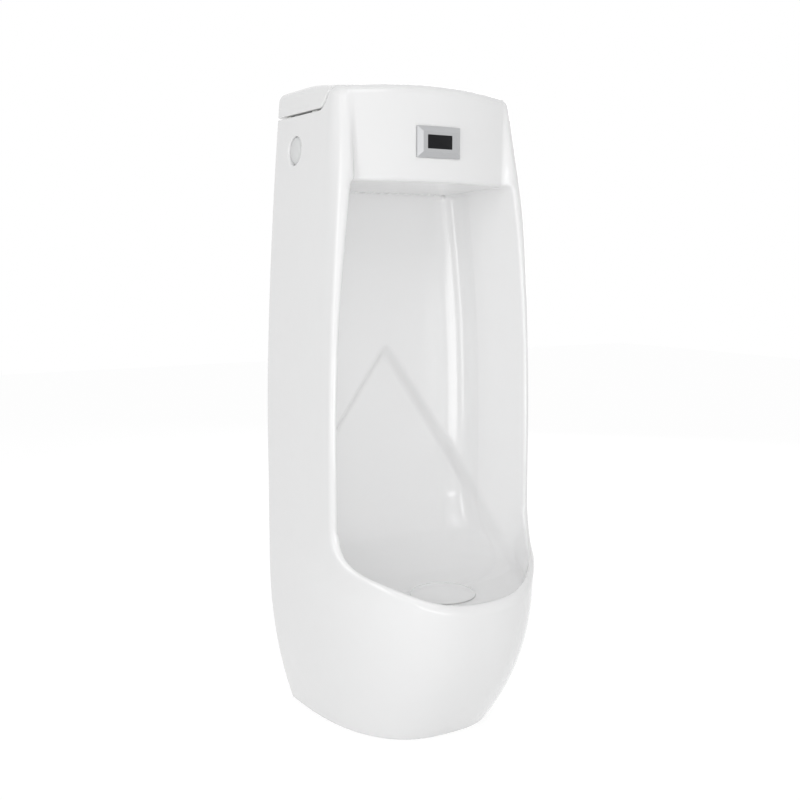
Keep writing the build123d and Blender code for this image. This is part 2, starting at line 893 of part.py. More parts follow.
coil_low_z = bonnet_z + 6.2
coil_top_z = armature_top_z - 5.0
with BuildPart() as solenoid_coil:
    with BuildSketch(valve_level(coil_low_z)):
        Circle(14.5)
        with Locations((0, 13)):
            Rectangle(16, 12)
    extrude(amount=coil_top_z - coil_low_z)
    chamfer(solenoid_coil.edges().filter_by(GeomType.CIRCLE), length=1.0)
    with BuildSketch(valve_level(coil_low_z - 1)):
        Circle(plunger_radius + 1.5)
    extrude(amount=60, mode=Mode.SUBTRACT)

with BuildPart() as coil_washer:
    with BuildSketch(valve_level(bonnet_z + 4)):
        Circle(9)
        Circle(plunger_radius + 1.5, mode=Mode.SUBTRACT)
    extrude(amount=coil_low_z - bonnet_z - 4)

with BuildPart() as coil_nut:
    with BuildSketch(valve_level(coil_top_z)):
        RegularPolygon(9.5, 6)
        Circle(plunger_radius + 1.45, mode=Mode.SUBTRACT)
    extrude(amount=4)

# Bracket that carries the solenoid valve on the wash channel
with BuildPart() as valve_bracket:
    with BuildSketch(Plane(origin=(valve_x - 19, reach(channel_reach), boss_top_z), x_dir=(0, -1, 0), z_dir=(-1, 0, 0))):
        with BuildLine():
            Polyline(
                (-18, 0),
                (18, 0),
                (18, 2),
                (9, 2),
                (9, valve_z - 10 - boss_top_z),
                (-9, valve_z - 10 - boss_top_z),
                (-9, 2),
                (-18, 2),
                close=True,
            )
        make_face()
        with BuildLine():
            Polyline((-7, 0), (7, 0), (7, valve_z - 12 - boss_top_z), (-7, valve_z - 12 - boss_top_z), close=True)
        make_face(mode=Mode.SUBTRACT)
    extrude(amount=-38)
    with BuildSketch(valve_level(boss_top_z)):
        with Locations((0, 13.5), (0, -13.5)):
            Circle(1.7)
    extrude(amount=2, mode=Mode.SUBTRACT)

with BuildPart() as bracket_screws:
    with BuildSketch(valve_level(boss_top_z + 2)):
        with Locations((0, 13.5), (0, -13.5)):
            Circle(3.2)
    extrude(amount=2)
    with BuildSketch(valve_level(boss_top_z + 2)):
        with Locations((0, 13.5), (0, -13.5)):
            Circle(1.6)
    extrude(amount=-2)

# Stop valve: a quarter-turn ball valve that turns the supply through a right angle
ball_radius = 11.0
port_radius = 6.0
stem_radius = 4.0
supply_radius = 10.3
stop_plane = Plane(origin=(stop_x, reach(channel_reach), valve_z), x_dir=(0, 1, 0), z_dir=(-1, 0, 0))
supply_plane = Plane(origin=(stop_x, reach(channel_reach), valve_z), x_dir=(1, 0, 0), z_dir=(0, 1, 0))
supply_length = channel_reach - 4.0


def stop_level(z):
    return Plane(origin=(stop_x, reach(channel_reach), z), x_dir=(1, 0, 0), z_dir=(0, 0, 1))


neck_top_z = valve_z + 22.0
with BuildPart() as stop_valve_body:
    with BuildSketch(stop_level(valve_z - 15)):
        Circle(15)
    extrude(amount=30)
    with BuildSketch(stop_level(valve_z + 15)):
        Circle(8)
    extrude(amount=neck_top_z - valve_z - 15)
    with BuildSketch(supply_plane):
        Circle(supply_radius)
    extrude(amount=supply_length)
    with BuildSketch(supply_plane.offset(supply_length - 26)):
        RegularPolygon(14, 6)
    extrude(amount=8)
    with BuildSketch(stop_plane):
        Circle(10)
    extrude(amount=stop_x - valve_x - 24 - 0.2)
    with Locations((stop_x, reach(channel_reach), valve_z)):
        Sphere(ball_radius + 0.3, mode=Mode.SUBTRACT)
    with BuildSketch(supply_plane):
        Circle(port_radius)
    extrude(amount=supply_length, mode=Mode.SUBTRACT)
    with BuildSketch(stop_plane):
        Circle(port_radius)
    extrude(amount=60, mode=Mode.SUBTRACT)
    with BuildSketch(stop_level(valve_z)):
        Circle(stem_radius + 0.06)
    extrude(amount=40, mode=Mode.SUBTRACT)

with BuildPart() as stop_ball:
    with Locations((stop_x, reach(channel_reach), valve_z)):
        Sphere(ball_radius)
    with BuildSketch(supply_plane):
        Circle(port_radius)
    extrude(amount=30, mode=Mode.SUBTRACT)
    with BuildSketch(stop_plane):
        Circle(port_radius)
    extrude(amount=30, mode=Mode.SUBTRACT)
    with BuildSketch(stop_level(valve_z + ball_radius - 2.5)):
        Circle(14)
    extrude(amount=4, mode=Mode.SUBTRACT)

lever_z = neck_top_z + 1.0
with BuildPart() as stop_stem:
    with BuildSketch(stop_level(valve_z + ball_radius - 2.5)):
        Circle(stem_radius)
    extrude(amount=lever_z + 3.0 - valve_z - ball_radius + 2.5)

lever_length = 34.0
with BuildPart() as stop_lever:
    with BuildSketch(stop_level(lever_z)):
        Circle(8)
        with Locations((0, -lever_length / 2)):
            Rectangle(9, lever_length)
        with Locations((0, -lever_length)):
            Circle(4.5)
        Circle(stem_radius, mode=Mode.SUBTRACT)
    extrude(amount=3)

with BuildPart() as lever_screw:
    with BuildSketch(stop_level(lever_z + 3)):
        Circle(5.5)
    extrude(amount=2.4)
    fillet(lever_screw.edges().filter_by(GeomType.CIRCLE).sort_by(Axis.Z)[-1], radius=1.2)

with BuildPart() as union_nut:
    with BuildSketch(line_plane.offset(43.5)):
        RegularPolygon(14.5, 6)
        Circle(10.1, mode=Mode.SUBTRACT)
    extrude(amount=14)

with BuildPart() as inlet_filter:
    with BuildSketch(line_plane.offset(49)):
        Circle(port_radius - 0.1)
        Circle(port_radius - 1.2, mode=Mode.SUBTRACT)
    extrude(amount=14)

# Control box with its board and lid
box_low_x = -138.0
box_length = 78.0
box_depth = 46.0
box_rise = 44.0
box_reach = 24.0
box_shell = 2.2


def box_level(z):
    return Plane(
        origin=(box_low_x + box_length / 2, reach(box_reach + box_depth / 2), z), x_dir=(1, 0, 0), z_dir=(0, 0, 1)
    )


with BuildPart() as control_box:
    with BuildSketch(box_level(cavity_floor_z)):
        RectangleRounded(box_length, box_depth, 4)
    extrude(amount=box_rise)
    with BuildSketch(box_level(cavity_floor_z + box_shell)):
        RectangleRounded(box_length - 2 * box_shell, box_depth - 2 * box_shell, 2.5)
    extrude(amount=box_rise, mode=Mode.SUBTRACT)
    with BuildSketch(box_level(cavity_floor_z + box_shell)):
        with GridLocations(box_length - 16, box_depth - 16, 2, 2):
            Circle(3)
    extrude(amount=8)

with BuildPart() as control_board:
    with BuildSketch(box_level(cavity_floor_z + box_shell + 8)):
        Rectangle(box_length - 6, box_depth - 6)
    extrude(amount=1.6)
    with BuildSketch(box_level(cavity_floor_z + box_shell + 9.6)):
        with Locations((-20, 6)):
            Rectangle(12, 12)
        with Locations((12, -8)):
            Rectangle(20, 10)
        with Locations((22, 10), (8, 10)):
            Circle(4)
    extrude(amount=6)

with BuildPart() as control_box_lid:
    with BuildSketch(box_level(cavity_floor_z + box_rise)):
        RectangleRounded(box_length, box_depth, 4)
    extrude(amount=2.4)
    with BuildSketch(box_level(cavity_floor_z + box_rise)):
        RectangleRounded(box_length - 2 * box_shell - 0.4, box_depth - 2 * box_shell - 0.4, 2)
        RectangleRounded(box_length - 2 * box_shell - 4, box_depth - 2 * box_shell - 4, 1.5, mode=Mode.SUBTRACT)
    extrude(amount=-3)

# Battery box with four cells
cell_radius = 7.15
cell_length = 50.0
battery_x = -92.0
battery_reach = 156.0
battery_width = 4 * 2 * cell_radius + 6.4
battery_depth = cell_length + 9.0


def battery_level(z):
    return Plane(origin=(battery_x, reach(battery_reach), z), x_dir=(1, 0, 0), z_dir=(0, 0, 1))


with BuildPart() as battery_box:
    with BuildSketch(battery_level(cavity_floor_z)):
        RectangleRounded(battery_width, battery_depth, 3)
    extrude(amount=20)
    with BuildSketch(battery_level(cavity_floor_z + 2)):
        Rectangle(battery_width - 4, battery_depth - 4)
    extrude(amount=20, mode=Mode.SUBTRACT)

with BuildPart() as batteries:
    cell_plane = Plane(
        origin=(battery_x, reach(battery_reach) - cell_length / 2, cavity_floor_z + 2.2 + cell_radius),
        x_dir=(1, 0, 0),
        z_dir=(0, 1, 0),
    )
    with BuildSketch(cell_plane):
        with GridLocations(2 * cell_radius + 0.4, 1, 4, 1):
            Circle(cell_radius)
    extrude(amount=cell_length - 1.2)
    with BuildSketch(cell_plane.offset(cell_length - 1.2)):
        with GridLocations(2 * cell_radius + 0.4, 1, 4, 1):
            Circle(2.6)
    extrude(amount=1.2)

with BuildPart() as battery_contacts:
    with BuildSketch(battery_level(cavity_floor_z + 2)):
        with Locations((0, battery_depth / 2 - 2.6), (0, 2.6 - battery_depth / 2)):
            Rectangle(battery_width - 8, 0.8)
    extrude(amount=14)

with BuildPart() as battery_lid:
    with BuildSketch(battery_level(cavity_floor_z + 20)):
        RectangleRounded(battery_width, battery_depth, 3)
    extrude(amount=2)
    with BuildSketch(battery_level(cavity_floor_z + 20)):
        Rectangle(battery_width - 4.6, battery_depth - 4.6)
        Rectangle(battery_width - 8, battery_depth - 8, mode=Mode.SUBTRACT)
    extrude(amount=-2.5)

# How far a spherical dome has dropped from its top at half its radius
def dome_drop(radius, rise):
    ball = (radius**2 + rise**2) / (2 * rise)
    return ball - math.sqrt(ball**2 - radius**2 / 4)


# Drain cover in the bowl
cover_radius = 52.0
cover_gap = 4.0
cover_rise = 17.0
skirt_radius = drain_radius - 2.0


def drain_level(z):
    return Plane(origin=(0, reach(drain_reach), z), x_dir=(1, 0, 0), z_dir=(0, 0, 1))


edge_x = cover_radius - 1.0
edge_top = cover_gap + 3.0
throat_x = skirt_radius - 3.0
throat_top = cover_rise - 5.0
with BuildPart() as drain_cover:
    with BuildSketch(Plane(origin=(0, reach(drain_reach), floor_z), x_dir=(1, 0, 0), z_dir=(0, -1, 0))):
        with BuildLine():
            Line((0, cover_rise), (0, throat_top))
            ThreePointArc(
                (0, throat_top),
                (throat_x / 2, throat_top - dome_drop(throat_x, throat_top - cover_gap)),
                (throat_x, cover_gap),
            )
            Polyline(
                (throat_x, cover_gap),
                (throat_x, -14),
                (skirt_radius, -14),
                (skirt_radius, cover_gap),
                (edge_x, cover_gap),
            )
            ThreePointArc((edge_x, cover_gap), (cover_radius, cover_gap + 1.5), (edge_x, edge_top))
            ThreePointArc(
                (edge_x, edge_top),
                (edge_x / 2, cover_rise - dome_drop(edge_x, cover_rise - edge_top)),
                (0, cover_rise),
            )
        make_face()
    revolve(axis=Axis((0, reach(drain_reach), 0), (0, 0, 1)))
    with BuildSketch(drain_level(floor_z - 16)):
        with PolarLocations(skirt_radius, 8):
            Rectangle(14, 9)
    extrude(amount=14, mode=Mode.SUBTRACT)
    with BuildSketch(drain_level(floor_z)):
        with PolarLocations(44, 4, 45):
            Circle(3)
    extrude(amount=cover_gap + 1)

# Outlet seal round the horn under the trap
with BuildPart() as outlet_seal:
    with BuildSketch(Plane.XY):
        with Locations((0, reach(outlet_reach))):
            Circle(48)
            Circle(outlet_radius + 1, mode=Mode.SUBTRACT)
    extrude(amount=13.5)
    with BuildSketch(Plane.XY.offset(horn_low_z)):
        with Locations((0, reach(outlet_reach))):
            Circle(horn_radius + 0.1)
    extrude(amount=20, mode=Mode.SUBTRACT)


# Push-in caps of the side holes
plug_radius = side_hole_radius - 0.25
plug_face_x = shell_half_width(side_hole_z) - 2.0
plug_bulge = 2.0


def side_plug(side):
    middle = Plane(origin=(0, reach(side_hole_reach), side_hole_z), x_dir=(side, 0, 0), z_dir=(0, -side, 0))
    with BuildPart() as plug:
        with BuildSketch(middle):
            with BuildLine():
                Line((plug_face_x, 0), (plug_face_x - 2.5, 0))
                Polyline(
                    (plug_face_x - 2.5, 0),
                    (plug_face_x - 2.5, plug_radius - 2),
                    (plug_face_x - wall - 1, plug_radius - 2),
                    (plug_face_x - wall - 1, plug_radius - 0.5),
                    (plug_face_x - wall + 1, plug_radius),
                    (plug_face_x - plug_bulge, plug_radius),
                )
                ThreePointArc(
                    (plug_face_x - plug_bulge, plug_radius),
                    (plug_face_x - dome_drop(plug_radius, plug_bulge), plug_radius / 2),
                    (plug_face_x, 0),
                )
            make_face()
        revolve(axis=Axis((0, reach(side_hole_reach), side_hole_z), (1, 0, 0)))
    return plug.part


# Buffers between the body's top edge and the cover
pad_thickness = seam_gap
with BuildPart() as cover_pads:
    with BuildSketch(Plane.XY.offset(seam_z)):
        with Locations(
            (shell_half_width(seam_z) - 6.5, reach(40)),
            (shell_half_width(seam_z) - 6.5, reach(130)),
            (6.5 - shell_half_width(seam_z), reach(40)),
            (6.5 - shell_half_width(seam_z), reach(130)),
        ):
            Rectangle(7, 16)
    extrude(amount=pad_thickness)


# Leads, clipped between the housings they join
def lead(points, radius, bend):
    with BuildPart() as wire:
        with BuildLine() as route:
            FilletPolyline(*points, radius=bend)
        with BuildSketch(Plane(origin=route.line @ 0, z_dir=route.line % 0)):
            Circle(radius)
        sweep()

    return wire.part


lead_radius = 2.0
box_right_x = box_low_x + box_length
sensor_lead = lead(
    [
        (0, reach(sensor_body_reach + 1), sensor_z),
        (0, reach(sensor_body_reach - 32), sensor_z),
        (box_right_x + 34, reach(box_reach + 34), cavity_floor_z + 30),
        (box_right_x, reach(box_reach + 34), cavity_floor_z + 30),
    ],
    lead_radius,
    14.0,
)
valve_lead = lead(
    [
        (valve_x, reach(channel_reach - 19), coil_low_z + 8),
        (valve_x, reach(box_reach + 16), coil_low_z + 8),
        (box_right_x + 24, reach(box_reach + 16), cavity_floor_z + 22),
        (box_right_x, reach(box_reach + 16), cavity_floor_z + 22),
    ],
    lead_radius,
    14.0,
)
battery_front = battery_reach - battery_depth / 2
lead_high_z = boss_top_z + 5.0
battery_lead = lead(
    [
        (battery_x, reach(battery_front), cavity_floor_z + 10),
        (battery_x, reach(battery_front - 7), cavity_floor_z + 10),
        (battery_x, reach(battery_front - 7), lead_high_z),
        (battery_x, reach(box_reach + box_depth), lead_high_z),
    ],
    lead_radius,
    5.0,
)

side_plug_left = side_plug(-1)
side_plug_right = side_plug(1)

# Labels and files
sensor_gasket.part.label = "sensor_gasket"
export_step(sensor_gasket.part, "parts/sensor_gasket.step")
sensor_bezel.part.label = "sensor_bezel"
export_step(sensor_bezel.part, "parts/sensor_bezel.step")
sensor_window.part.label = "sensor_window"
export_step(sensor_window.part, "parts/sensor_window.step")
sensor_housing.part.label = "sensor_housing"
export_step(sensor_housing.part, "parts/sensor_housing.step")
sensor_board.part.label = "sensor_board"
export_step(sensor_board.part, "parts/sensor_board.step")
sensor_clamp.part.label = "sensor_clamp"
export_step(sensor_clamp.part, "parts/sensor_clamp.step")
clamp_nuts.part.label = "clamp_nuts"
export_step(clamp_nuts.part, "parts/clamp_nuts.step")
spud_washer.part.label = "spud_washer"
export_step(spud_washer.part, "parts/spud_washer.step")
inlet_spud.part.label = "inlet_spud"
export_step(inlet_spud.part, "parts/inlet_spud.step")
spud_nut.part.label = "spud_nut"
export_step(spud_nut.part, "parts/spud_nut.step")
outlet_elbow.part.label = "outlet_elbow"
export_step(outlet_elbow.part, "parts/outlet_elbow.step")
solenoid_body.part.label = "solenoid_body"
export_step(solenoid_body.part, "parts/solenoid_body.step")
valve_diaphragm.part.label = "valve_diaphragm"
export_step(valve_diaphragm.part, "parts/valve_diaphragm.step")
solenoid_bonnet.part.label = "solenoid_bonnet"
export_step(solenoid_bonnet.part, "parts/solenoid_bonnet.step")
bonnet_screws.part.label = "bonnet_screws"
export_step(bonnet_screws.part, "parts/bonnet_screws.step")
plunger.part.label = "plunger"
export_step(plunger.part, "parts/plunger.step")
plunger_spring.part.label = "plunger_spring"
export_step(plunger_spring.part, "parts/plunger_spring.step")
solenoid_coil.part.label = "solenoid_coil"
export_step(solenoid_coil.part, "parts/solenoid_coil.step")
coil_washer.part.label = "coil_washer"
export_step(coil_washer.part, "parts/coil_washer.step")
coil_nut.part.label = "coil_nut"
export_step(coil_nut.part, "parts/coil_nut.step")
valve_bracket.part.label = "valve_bracket"
export_step(valve_bracket.part, "parts/valve_bracket.step")
bracket_screws.part.label = "bracket_screws"
export_step(bracket_screws.part, "parts/bracket_screws.step")
stop_valve_body.part.label = "stop_valve_body"
export_step(stop_valve_body.part, "parts/stop_valve_body.step")
stop_ball.part.label = "stop_ball"
export_step(stop_ball.part, "parts/stop_ball.step")
stop_stem.part.label = "stop_stem"
export_step(stop_stem.part, "parts/stop_stem.step")
stop_lever.part.label = "stop_lever"
export_step(stop_lever.part, "parts/stop_lever.step")
lever_screw.part.label = "lever_screw"
export_step(lever_screw.part, "parts/lever_screw.step")
union_nut.part.label = "union_nut"
export_step(union_nut.part, "parts/union_nut.step")
inlet_filter.part.label = "inlet_filter"
export_step(inlet_filter.part, "parts/inlet_filter.step")
control_box.part.label = "control_box"
export_step(control_box.part, "parts/control_box.step")
control_board.part.label = "control_board"
export_step(control_board.part, "parts/control_board.step")
control_box_lid.part.label = "control_box_lid"
export_step(control_box_lid.part, "parts/control_box_lid.step")
battery_box.part.label = "battery_box"
export_step(battery_box.part, "parts/battery_box.step")
batteries.part.label = "batteries"
export_step(batteries.part, "parts/batteries.step")
battery_contacts.part.label = "battery_contacts"
export_step(battery_contacts.part, "parts/battery_contacts.step")
battery_lid.part.label = "battery_lid"
export_step(battery_lid.part, "parts/battery_lid.step")
drain_cover.part.label = "drain_cover"
export_step(drain_cover.part, "parts/drain_cover.step")
outlet_seal.part.label = "outlet_seal"
export_step(outlet_seal.part, "parts/outlet_seal.step")
cover_pads.part.label = "cover_pads"
export_step(cover_pads.part, "parts/cover_pads.step")
battery_lead.label = "battery_lead"
export_step(battery_lead, "parts/battery_lead.step")
ir_emitter.label = "ir_emitter"
export_step(ir_emitter, "parts/ir_emitter.step")
ir_receiver.label = "ir_receiver"
export_step(ir_receiver, "parts/ir_receiver.step")
sensor_lead.label = "sensor_lead"
export_step(sensor_lead, "parts/sensor_lead.step")
valve_lead.label = "valve_lead"
export_step(valve_lead, "parts/valve_lead.step")
side_plug_left.label = "side_plug_left"
export_step(side_plug_left, "parts/side_plug_left.step")
side_plug_right.label = "side_plug_right"
export_step(side_plug_right, "parts/side_plug_right.step")
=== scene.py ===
import json
import math

import bpy
import numpy as np
import openvdb
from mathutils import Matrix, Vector


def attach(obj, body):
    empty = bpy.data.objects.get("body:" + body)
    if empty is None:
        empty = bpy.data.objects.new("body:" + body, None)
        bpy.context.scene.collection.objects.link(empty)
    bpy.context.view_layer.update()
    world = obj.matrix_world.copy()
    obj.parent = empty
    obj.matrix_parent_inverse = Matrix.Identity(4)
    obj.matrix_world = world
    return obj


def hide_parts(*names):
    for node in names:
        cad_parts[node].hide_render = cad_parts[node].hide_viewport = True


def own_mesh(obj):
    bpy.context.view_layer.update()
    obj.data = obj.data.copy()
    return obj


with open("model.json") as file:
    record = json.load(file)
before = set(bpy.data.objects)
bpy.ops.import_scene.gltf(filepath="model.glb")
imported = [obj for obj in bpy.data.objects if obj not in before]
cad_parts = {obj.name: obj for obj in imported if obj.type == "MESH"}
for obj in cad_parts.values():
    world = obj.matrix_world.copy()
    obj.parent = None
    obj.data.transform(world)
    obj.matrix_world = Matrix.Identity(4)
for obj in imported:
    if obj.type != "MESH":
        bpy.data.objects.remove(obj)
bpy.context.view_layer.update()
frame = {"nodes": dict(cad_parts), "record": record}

# Sizes are in millimetres, as in the part's source: x to the right, s forward of the flat back (the
# "reach"), z up. MM turns them into scene units. The object is the same on both sides of x = 0, so ax
# is the distance from the middle, and sizes across are half widths.
MM = 0.001
WALL = 11.0

# Barrel shell
HEIGHT = 1000.0
DEPTH = 367.0
BACK_Y = DEPTH / 2
BELLY, CROWN, FOOT = 185.5, 156.0, 146.0
FOOT_REACH, CROWN_REACH = 269.0, 235.0
FLARE_POWER = 2.1
TAPER_Z, TAPER_POWER = 480.0, 1.6
DRAW_POWER = 1.3
FOOT_STRAIGHT, BODY_STRAIGHT = 27.0, 183.0
FOOT_HANDLE, BODY_BOXY, CROWN_SOFT = 0.72, 0.13, 0.19

# Top, level at the back and falling to the two front corners, and the cover's seam
TOP_RISE, TOP_FALL = 4.0, 10.0
TOP_LEVEL, TOP_FRONT = 90.0, 232.0
SEAM_Z, SEAM_GAP = 961.5, 3.0

# Open front: lip, rim and ceiling
LIP_Z = 250.0
LIP_CURVE_Z = 345.0
RIM_REACH = 228.0
RIM_LEAN_Z = 760.0
RIM_LEAN_2, RIM_LEAN_3 = 22.45, 0.55
RIM_WIDTH, RIM_WIDENS, RIM_WIDENS_Z = 11.5, 9.5, 620.0
CEILING_Z = 857.5
CEILING_FALL = 10.5

# Trough, with the gabled pocket in its back
TROUGH_BACK = 79.0
FLOOR_Z = 218.0
POCKET_DEPTH = 14.0
POCKET_APEX = 593.0
POCKET_SLOPE = 1.43
POCKET_LEAN = 0.865
POCKET_STEEP = 1.95
POCKET_EDGE = 18.0
POCKET_RIDGE = 6.0

# Bowl: height, reach of the back, side draw-in, corner radius, front reach, handle share
BOWL = np.array(
    [
        (0, 197, 84, 40, 318, 0.6),
        (6, 186, 56, 45, 342, 0.66),
        (15, 168, 30, 50, 372, 0.75),
        (27, 148, 14, 55, 410, 0.82),
        (42, 126, 5, 55, 445, 0.86),
        (62, 102, 0, 52, 480, 0.88),
        (90, 85, 0, 48, 500, 0.9),
        (125, 79, 0, 45, 520, 0.9),
        (205, 79, 0, 45, 520, 0.9),
    ]
)
BOWL_REACH, BOWL_DRAW, BOWL_CORNER, BOWL_FRONT, BOWL_HANDLE = range(1, 6)

# Head panel and the cavity behind it
PANEL_HALF = 138.0
PANEL_EDGE = 211.0
PANEL_BULGE = 20.0
PANEL_OVERLAP = 6.0
PANEL_WALL = 13.0
PANEL_DROP, PANEL_ROOT = 20.0, 180.0
RECESS_DROP, RECESS_ROOT = 30.0, 190.0
CAVITY_BACK, CAVITY_FLOOR = 12.0, 871.0
ROOF_Z, ROOF_REACH = 972.0, 152.0

# Rear hollow, trap and outlet
HOLLOW_TOP = 858.0
BOWL_BACK, BOWL_UNDER = 176.0, 206.0
TRAP_HALF, WATER_HALF = 45.0, 34.0
HORN_RADIUS, HORN_LOW, HORN_HIGH = 33.0, 4.0, 24.0
OUTLET_REACH, OUTLET_RADIUS, OUTLET_TOP = 124.0, 27.0, 40.0
DRAIN_REACH, DRAIN_RADIUS = 248.0, 36.0
BASE_TOP = 8.0

# Holes
INLET_REACH, INLET_RADIUS = 92.0, 15.0
WASH_PITCH, WASH_REACH, WASH_RADIUS, WASH_END = 15, 87.0, 2.2, 122.0
BOLT_X, BOLT_Z, BOLT_RADIUS, BOLT_DEPTH = 136.0, 919.0, 5.5, 22.0
SIDE_HOLE = (75.0, 908.0, 22.0)
SIDE_HOLE_INNER = 140.0

# Boxes: low corner and high corner. One that spans the middle starts at ax = -1.
REAR_OPENING = ((-1, -20, 60), (138, 13, 826))
BASE_OPENING = ((-1, 16, -30), (118, 160, 4))
CHANNEL_RIDGE = ((-1, 71, 800), (140, 113, 891.5))
WASH_CHANNEL = ((-1, 83, 861.5), (128, 101, 879.5))
REAR_WINDOW = ((-1, -20, 883), (118, 14, 943.5))
SENSOR_HOLE = ((-1, 193, 899), (34, 300, 933))
HOUSING_HOLE = ((-1, 198, 893), (42, 217.4, 939))
BEZEL_SEAT = ((-1, 229.2, 892), (39.5, 300, 940))

# Inside of the top cover: its step over the seam's curve rises with the reach
COVER_HALF, COVER_INNER_TOP = 143.0, 984.0
COVER_STEP_REACH, COVER_STEP_END = 141.0, 171.0
COVER_STEP_Z, COVER_STEP_SLOPE = 968.0, 0.35

# Radii of the glazed edges
RIM_ROUND = 9.0
INNER_RIM_ROUND = 4.5
CROWN_ROUND = 15.0
GLAZE_ROUND = 3.0
PANEL_ROUND = 8.0
INNER_ROUND = 8.0
FLOOR_ROUND = 14.0
FINE_ROUND = 2.0
WATER_ROUND = 2.5
SIDE_HOLE_ROUND = 1.5
SEAM_ROUND = 1.2
COVER_ROUND = 1.5

# Sensor window: middle x and z, half width and height; and the reach of the bezel's face
WINDOW = (-0.9, 916.0, 21.9, 10.3)
WINDOW_CORNER = 1.2
BEZEL_FACE = 237.0

# Sampling: cell size, heights worked at a time, step for slopes, least slope, furthest move
CELL = 2.5
SLAB = 40
SLOPE_STEP = 0.3
LEAST_SLOPE = 0.3
FURTHEST = 0.9


def blend(low, high, value):
    """0 below low, 1 above high, smooth between."""
    share = np.clip((value - low) / (high - low), 0.0, 1.0)
    return share * share * (3 - 2 * share)


# Shell: half width, reach, straight side and corner shape at each height
def flared(z):
    return 1 - (1 - np.clip(z, 0, LIP_Z) / LIP_Z) ** FLARE_POWER


def shell_half_width(z):
    low = FOOT + (BELLY - FOOT) * flared(z)
    taper = np.maximum(0.0, (z - TAPER_Z) / (HEIGHT - TAPER_Z)) ** TAPER_POWER
    return np.where(z < LIP_Z, low, BELLY - (BELLY - CROWN) * taper)


def shell_reach(z):
    low = FOOT_REACH + (DEPTH - FOOT_REACH) * flared(z)
    draw = (np.maximum(0.0, z - LIP_Z) / (HEIGHT - LIP_Z)) ** DRAW_POWER
    return np.where(z < LIP_Z, low, DEPTH - (DEPTH - CROWN_REACH) * draw)


def shell_straight(z):
    return FOOT_STRAIGHT + (BODY_STRAIGHT - FOOT_STRAIGHT) * blend(LIP_Z - 10, LIP_Z + 90, z)


def exponent(k):
    """Superellipse exponent of a curve whose handles reach the share k of the way to the corner."""
    return math.log(2) / -np.log((4 + 3 * k) / 8)


def shell_exponent(z):
    boxy = BODY_BOXY * blend(LIP_Z - 10, LIP_Z + 100, z)
    round_head = CROWN_SOFT * blend(HEIGHT - 220, HEIGHT - 20, z)
    return exponent(FOOT_HANDLE + boxy - round_head)


def rim_inner(z):
    widen = np.maximum(0.0, (z - RIM_WIDENS_Z) / (CEILING_Z - RIM_WIDENS_Z)) ** 1.3
    return shell_half_width(z) - RIM_WIDTH - RIM_WIDENS * widen


# Fields are negative inside. These three join two of them with a rounded edge.
def both(a, b, radius):
    edge = np.sqrt(np.maximum(a + radius, 0) ** 2 + np.maximum(b + radius, 0) ** 2)
    return np.minimum(np.maximum(a, b), -radius) + edge


def either(a, b, radius):
    return -both(-a, -b, radius)


def without(a, b, radius):
    return both(a, -b, radius)


def disc(a, b, radius):
    return np.sqrt(a * a + b * b) - radius


def between(value, low, high):
    return np.maximum(low - value, value - high)


def within(box, ax, s, z):
    (ax0, s0, z0), (ax1, s1, z1) = box
    return np.maximum(np.maximum(between(ax, ax0, ax1), between(s, s0, s1)), between(z, z0, z1))


def oval(ax, s, half, start, front, power):
    """Plan outline with straight sides up to start and a rounded front."""
    u = np.maximum(ax / half, 1e-4)
    v = np.maximum(s - start, 0.0) / (front - start)
    total = u**power + v**power
    g = total ** (1 / power)
    rise_x = u ** (power - 1) / half
    rise_s = v ** (power - 1) / (front - start)
    steep = np.sqrt(rise_x**2 + rise_s**2) * g / total
    return (g - 1) / np.maximum(steep, 1e-3)


def bezier(p0, p1, p2, p3, count=24):
    t = np.linspace(0, 1, count)[:, None]
    p0, p1, p2, p3 = (np.array(p, float) for p in (p0, p1, p2, p3))
    return p0 * (1 - t) ** 3 + 3 * p1 * t * (1 - t) ** 2 + 3 * p2 * t * t * (1 - t) + p3 * t**3


class Profile:
    """Signed distance to a closed side profile of (s, z) points, kept as a 1 mm table."""

    MARGIN = 30
    SIZE = (490, 1080)

    def __init__(self, points):
        points = np.array(points, float)
        axes = (np.arange(-self.MARGIN, size - self.MARGIN) for size in self.SIZE)
        s, z = np.meshgrid(*axes, indexing="ij")
        nearest = np.full(s.shape, 1e9)
        inside = np.zeros(s.shape, bool)
        for (s0, z0), (s1, z1) in zip(points, np.roll(points, -1, axis=0)):
            ds, dz = s1 - s0, z1 - z0
            if ds == 0 and dz == 0:
                continue
            t = np.clip(((s - s0) * ds + (z - z0) * dz) / (ds * ds + dz * dz), 0, 1)
            nearest = np.minimum(nearest, (s - s0 - t * ds) ** 2 + (z - z0 - t * dz) ** 2)
            if dz != 0:
                crosses = (z0 > z) != (z1 > z)
                inside ^= crosses & (s < s0 + (z - z0) * ds / dz)
        self.table = (np.sqrt(nearest) * np.where(inside, -1, 1)).astype(np.float32)

    def __call__(self, s, z):
        s = np.clip(s + self.MARGIN, 0, self.SIZE[0] - 1.01)
        z = np.clip(z + self.MARGIN, 0, self.SIZE[1] - 1.01)
        u, v = s - np.floor(s), z - np.floor(z)
        i, j = s.astype(np.int32), z.astype(np.int32)
        t = self.table
        low = t[i, j] * (1 - u) + t[i + 1, j] * u
        high = t[i, j + 1] * (1 - u) + t[i + 1, j + 1] * u
        return low * (1 - v) + high * v


def rim_line(z):
    t = np.clip((z - RIM_LEAN_Z) / (HEIGHT + 5 - RIM_LEAN_Z), 0, 1)
    return RIM_REACH - RIM_LEAN_2 * t * t - RIM_LEAN_3 * t**3


